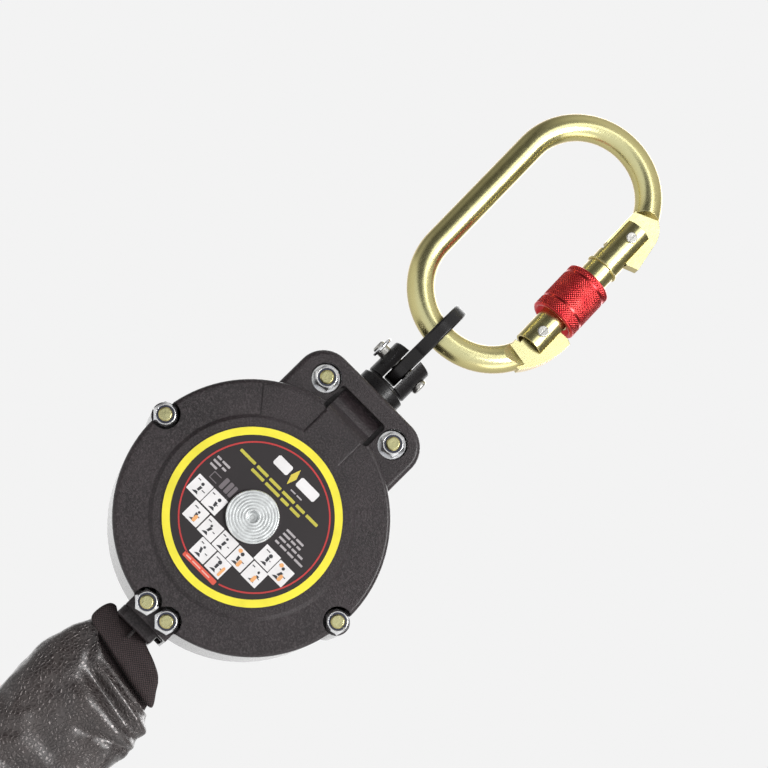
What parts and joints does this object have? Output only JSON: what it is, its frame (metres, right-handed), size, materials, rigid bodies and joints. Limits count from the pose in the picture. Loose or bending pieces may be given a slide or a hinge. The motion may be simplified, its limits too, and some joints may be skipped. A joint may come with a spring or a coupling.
{
  "type": "self retracting lifeline",
  "caption": "Compact self retracting lifeline: round webbing block on a swivel, screwgate connectors at both ends and a leather-sleeved energy absorber pack.",
  "frame": {"origin": "centre of the round housing: on the drum axis, midway through its thickness", "axes": "+Z from the webbing exit towards the swivel, -Y out of the label face along the drum axis, +X towards the gates of both connectors"},
  "size_m": [0.102, 0.0555, 0.5704],
  "materials": {
    "black_plastic": "fine textured, mould-matt",
    "label": "printed label, satin",
    "yellow_zinc": "yellow-zinc passivated steel",
    "bright_zinc": "bright zinc plated steel",
    "turned_steel": "turned, satin",
    "red_anodised": "red anodised, knurled",
    "black_steel": "satin black",
    "frame_steel": "pressed steel, zinc plated",
    "hard_steel": "hardened, oiled",
    "spring_steel": "blued spring strip",
    "stainless": "stainless, drawn",
    "bronze": "sintered bronze",
    "spool_aluminium": "machined",
    "nylon": "moulded nylon",
    "acetal": "moulded acetal",
    "webbing": "tight woven polyester webbing",
    "tear_webbing": "woven tear webbing",
    "leather": "black grained leather"
  },
  "bodies": {
    "anchor_connector": {"anchor_connector_body": "yellow_zinc"},
    "anchor_gate": {"anchor_connector_gate": "yellow_zinc", "anchor_connector_rivets": "stainless", "anchor_connector_stop_ring": "yellow_zinc", "anchor_connector_spring": "spring_steel"},
    "anchor_sleeve": {"anchor_connector_sleeve": "red_anodised"},
    "eye": {"eye_plate": "black_steel"},
    "swivel": {"swivel_clevis": "black_steel", "swivel_nut": "hard_steel", "swivel_lock_pin": "hard_steel", "clevis_pin": "stainless", "pin_ring": "yellow_zinc"},
    "housing": {"front_shell": "black_plastic", "rear_shell": "black_plastic", "label_disc": "label", "front_axle_screw": "turned_steel", "rear_axle_screw": "turned_steel", "drum_axle": "hard_steel", "clamp_screws": "yellow_zinc", "lock_nuts": "bright_zinc", "nut_inserts": "nylon", "head_washers": "bright_zinc", "front_frame": "frame_steel", "rear_frame": "frame_steel", "swivel_block": "frame_steel", "swivel_bush": "bronze", "thrust_washer": "bronze", "ratchet_ring": "hard_steel", "ring_rivets": "stainless", "spring_case": "nylon", "spring_cover": "frame_steel", "spring_case_screws": "bright_zinc", "mainspring": "spring_steel", "exit_guide": "nylon", "webbing_lead": "webbing"},
    "drum": {"spool_hub": "spool_aluminium", "spool_flanges": "spool_aluminium", "spool_rivets": "stainless", "drum_bushes": "bronze", "webbing_coil": "webbing", "webbing_anchor_pin": "hard_steel", "pawl_pins": "hard_steel", "pawl_springs": "spring_steel"},
    "pawl_a": {"pawl_a": "hard_steel"},
    "pawl_b": {"pawl_b": "hard_steel"},
    "roller_left": {"guide_roller_left": "acetal"},
    "roller_right": {"guide_roller_right": "acetal"},
    "line_end": {"webbing_tail": "webbing", "woven_end": "webbing", "absorber_cover": "leather", "tear_webbing_pack": "tear_webbing", "line_end_loop": "webbing"},
    "user_connector": {"user_connector_body": "yellow_zinc"},
    "user_gate": {"user_connector_gate": "yellow_zinc", "user_connector_rivets": "stainless", "user_connector_stop_ring": "yellow_zinc", "user_connector_spring": "spring_steel"},
    "user_sleeve": {"user_connector_sleeve": "red_anodised"}
  },
  "joints": [
    {"name": "carabiner_swing", "type": "hinge", "parent": "anchor_connector", "child": "eye", "pos_m": [0.00213, 0.00394, 0.12079], "axis": [0, 0.9877, -0.1564], "range_deg": [-30, 30], "stiffness_Nm_per_rad": 3},
    {"name": "anchor_gate_hinge", "type": "hinge", "parent": "anchor_connector", "child": "anchor_gate", "pos_m": [0.02469, 0.01193, 0.17123], "axis": [0, 0.9877, -0.1564], "range_deg": [0, 25], "stiffness_Nm_per_rad": 0.05, "springref_deg": -57.3},
    {"name": "anchor_sleeve_slide", "type": "slide", "parent": "anchor_gate", "child": "anchor_sleeve", "axis": [-0.0244, 0.1564, 0.9874], "range_m": [0, 0.0038], "stiffness_N_per_m": 20, "springref_m": -0.02},
    {"name": "eye_swing", "type": "hinge", "parent": "eye", "child": "swivel", "pos_m": [0, 0, 0.0776], "axis": [1, 0, 0], "range_deg": [-60, 60], "stiffness_Nm_per_rad": 0.5},
    {"name": "swivel_spin", "type": "hinge", "parent": "swivel", "child": "housing", "pos_m": [0, 0, 0.06], "axis": [0, 0, 1], "continuous": true},
    {"name": "line_payout", "type": "slide", "parent": "housing", "child": "line_end", "axis": [0, 0, -1], "range_m": [0, 1.943], "stiffness_N_per_m": 4, "springref_m": -3.5, "deforming": ["webbing_tail"]},
    {"name": "drum_spin", "type": "hinge", "parent": "housing", "child": "drum", "pos_m": [0, 0, 0], "axis": [0, -1, 0], "range_deg": [0, 3960.1]},
    {"name": "pawl_a_swing", "type": "hinge", "parent": "drum", "child": "pawl_a", "pos_m": [0.02067, -0.015, 0.00752], "axis": [0, 1, 0], "range_deg": [0, 22], "stiffness_Nm_per_rad": 0.02, "springref_deg": -28.65},
    {"name": "pawl_b_swing", "type": "hinge", "parent": "drum", "child": "pawl_b", "pos_m": [-0.02067, -0.015, -0.00752], "axis": [0, 1, 0], "range_deg": [0, 22], "stiffness_Nm_per_rad": 0.02, "springref_deg": -28.65},
    {"name": "roller_left_spin", "type": "hinge", "parent": "housing", "child": "roller_left", "pos_m": [-0.00475, 0, -0.0462], "axis": [0, 1, 0], "continuous": true},
    {"name": "roller_right_spin", "type": "hinge", "parent": "housing", "child": "roller_right", "pos_m": [0.00475, 0, -0.0462], "axis": [0, 1, 0], "continuous": true},
    {"name": "user_connector_swing", "type": "hinge", "parent": "line_end", "child": "user_connector", "pos_m": [0.0038, 0, -0.2872], "axis": [0, 1, 0], "range_deg": [-30, 30], "stiffness_Nm_per_rad": 0.3},
    {"name": "user_gate_hinge", "type": "hinge", "parent": "user_connector", "child": "user_gate", "pos_m": [0.0276, 0, -0.3377], "axis": [0, -1, 0], "range_deg": [0, 25], "stiffness_Nm_per_rad": 0.05, "springref_deg": -57.3},
    {"name": "user_sleeve_slide", "type": "slide", "parent": "user_gate", "child": "user_sleeve", "axis": [0, 0, -1], "range_m": [0, 0.0038], "stiffness_N_per_m": 20, "springref_m": -0.02}
  ],
  "couplings": [
    {"joint": "drum_spin", "follows": "line_payout", "rad_per_m": 35.571}
  ]
}
